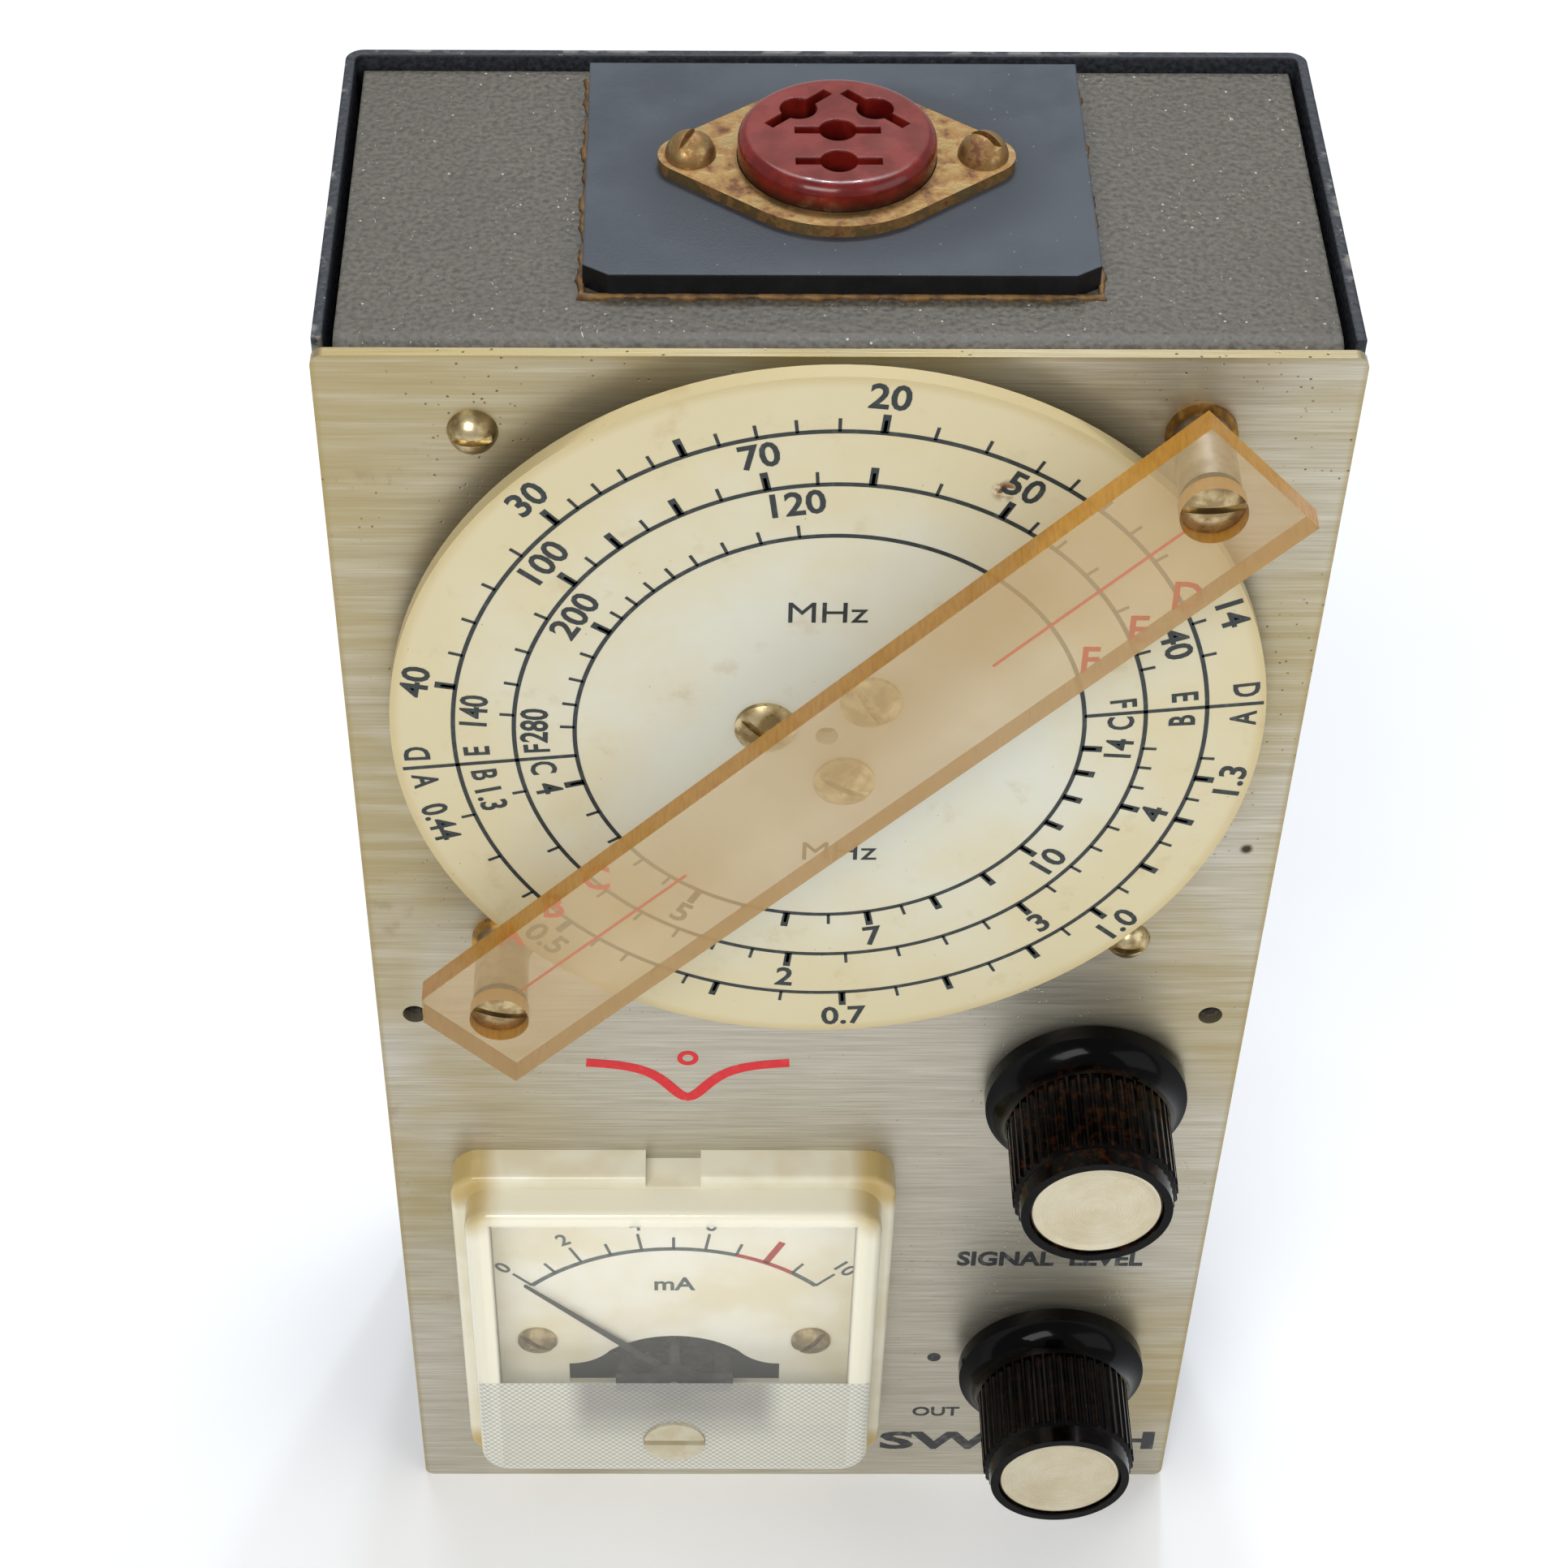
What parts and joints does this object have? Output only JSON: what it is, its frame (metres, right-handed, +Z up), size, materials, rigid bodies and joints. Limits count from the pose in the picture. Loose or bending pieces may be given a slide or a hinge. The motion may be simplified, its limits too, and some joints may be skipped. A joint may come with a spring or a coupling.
{
  "type": "dip meter",
  "caption": "Hand-held dip meter in a sheet-metal case: turning frequency dial under a clear cursor, plug-in coil socket on top, moving-coil meter and control knobs.",
  "frame": {"origin": "middle of the flat bottom end that the case stands on", "axes": "+Z up along the case towards the coil socket; -Y out of the front panel towards the user; +X to the right as the user sees the panel"},
  "size_m": [0.08, 0.0602, 0.1515],
  "materials": {
    "panel": "brushed, stained by age",
    "case_paint": "dark hammered paint",
    "cover_paint": "dark paint, worn at the edges",
    "plated_screws": "dull plated",
    "posts": "dull plated",
    "washers": "tarnished",
    "cursor": "yellowed clear acrylic",
    "dial": "printed ivory",
    "insulating_board": "phenolic sheet",
    "socket": "moulded phenolic",
    "saddle": "tarnished plating",
    "contacts": "silvered",
    "meter_case": "yellowed clear plastic",
    "meter_black": "moulded",
    "scale": "printed white",
    "pointer": "blackened",
    "steel": "plain",
    "bridge_metal": "plain",
    "adjuster": "translucent, yellowed",
    "knobs": "polished black",
    "knob_caps": "spun",
    "plates": "plain",
    "ceramic": "unglazed ceramic",
    "board": "phenolic laminate",
    "parts": "lacquered",
    "cans": "nickel",
    "battery_jacket": "printed jacket",
    "controls": "dull plated"
  },
  "bodies": {
    "case": {"battery": "battery_jacket", "battery_bracket": "plates", "battery_clip": "meter_black", "board_screws": "plated_screws", "board_standoffs": "controls", "bus_wires": "contacts", "capacitor_bearing": "washers", "capacitor_frame": "plates", "capacitor_mount_plate": "plates", "capacitor_pillars": "controls", "chassis_bottom": "case_paint", "chassis_front": "case_paint", "chassis_top": "case_paint", "circuit_board": "board", "cover_screws": "plated_screws", "cursor_bar": "cursor", "cursor_posts": "posts", "cursor_screws": "plated_screws", "front_panel": "panel", "hex_nuts": "steel", "insulating_plate": "insulating_board", "meter_base": "meter_black", "meter_bridge": "bridge_metal", "meter_cover": "meter_case", "meter_magnet": "steel", "meter_scale": "scale", "meter_studs": "steel", "meter_terminals": "contacts", "panel_screws": "plated_screws", "post_washers": "washers", "potentiometer_case": "controls", "rear_cover": "cover_paint", "resistors": "parts", "saddle_screws": "saddle", "scale_screws": "plated_screws", "socket_body": "socket", "socket_contacts": "contacts", "socket_saddle": "saddle", "stator_insulators": "ceramic", "stator_plates": "plates", "switch_body": "controls", "switch_wafer": "board", "transistors": "cans"},
    "dial": {"dial_disc": "dial", "dial_screws": "plated_screws", "dial_hub": "controls", "hub_set_screw": "steel", "rotor_shaft": "steel", "rotor_plates": "plates"},
    "sensitivity": {"sensitivity_knob": "knobs", "sensitivity_cap": "knob_caps", "sensitivity_set_screw": "steel", "potentiometer_shaft": "plates"},
    "mode": {"mode_knob": "knobs", "mode_cap": "knob_caps", "mode_set_screw": "steel", "switch_shaft": "plates"},
    "meter_movement": {"meter_coil": "plates", "needle": "pointer"},
    "zero_adjuster": {"zero_adjuster": "adjuster"}
  },
  "joints": [
    {"name": "dial_turn", "type": "hinge", "parent": "case", "child": "dial", "pos_m": [0, -0.021, 0.112], "axis": [0, -1, 0], "range_deg": [-141.1, 38.9]},
    {"name": "sensitivity_turn", "type": "hinge", "parent": "case", "child": "sensitivity", "pos_m": [0.0259, -0.021, 0.0639], "axis": [0, -1, 0], "range_deg": [-150, 150]},
    {"name": "mode_turn", "type": "hinge", "parent": "case", "child": "mode", "pos_m": [0.0259, -0.021, 0.0228], "axis": [0, -1, 0], "range_deg": [-60, 0]},
    {"name": "needle_swing", "type": "hinge", "parent": "case", "child": "meter_movement", "pos_m": [-0.0129, -0.021, 0.0231], "axis": [0, -1, 0], "range_deg": [-90, 0], "stiffness_Nm_per_rad": 0.00005},
    {"name": "zero_adjuster_turn", "type": "hinge", "parent": "case", "child": "zero_adjuster", "pos_m": [-0.0129, -0.021, 0.0163], "axis": [0, -1, 0], "range_deg": [-25, 25]}
  ]
}
